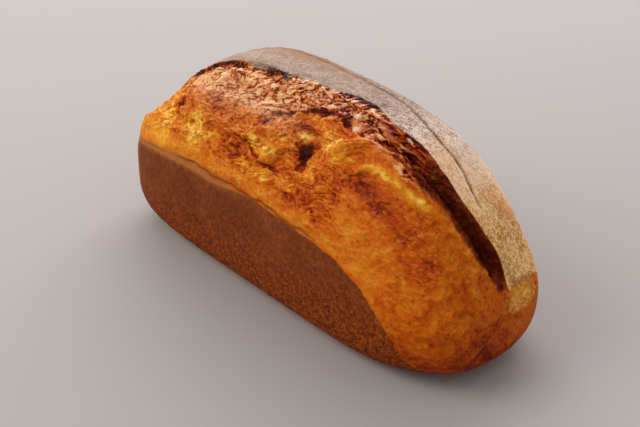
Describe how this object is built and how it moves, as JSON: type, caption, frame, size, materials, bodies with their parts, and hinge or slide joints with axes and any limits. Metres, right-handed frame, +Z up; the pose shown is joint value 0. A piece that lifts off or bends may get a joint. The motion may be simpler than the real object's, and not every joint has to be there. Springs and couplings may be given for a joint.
{
  "type": "tin loaf",
  "caption": "Tin loaf of spelt sourdough bread with a burst, craggy top, a floury back and a torn lip along its cut.",
  "frame": {"origin": "middle of the base, on the surface the loaf stands on", "axes": "+X along the loaf towards its lower, rounder end, +Z up, -Y the side that burst open over the tin's rim"},
  "size_m": [0.2598, 0.1036, 0.1167],
  "materials": {
    "crust": "baked bread crust, matte to slightly glossy"
  },
  "bodies": {
    "root": {"loaf": "crust"}
  },
  "joints": []
}
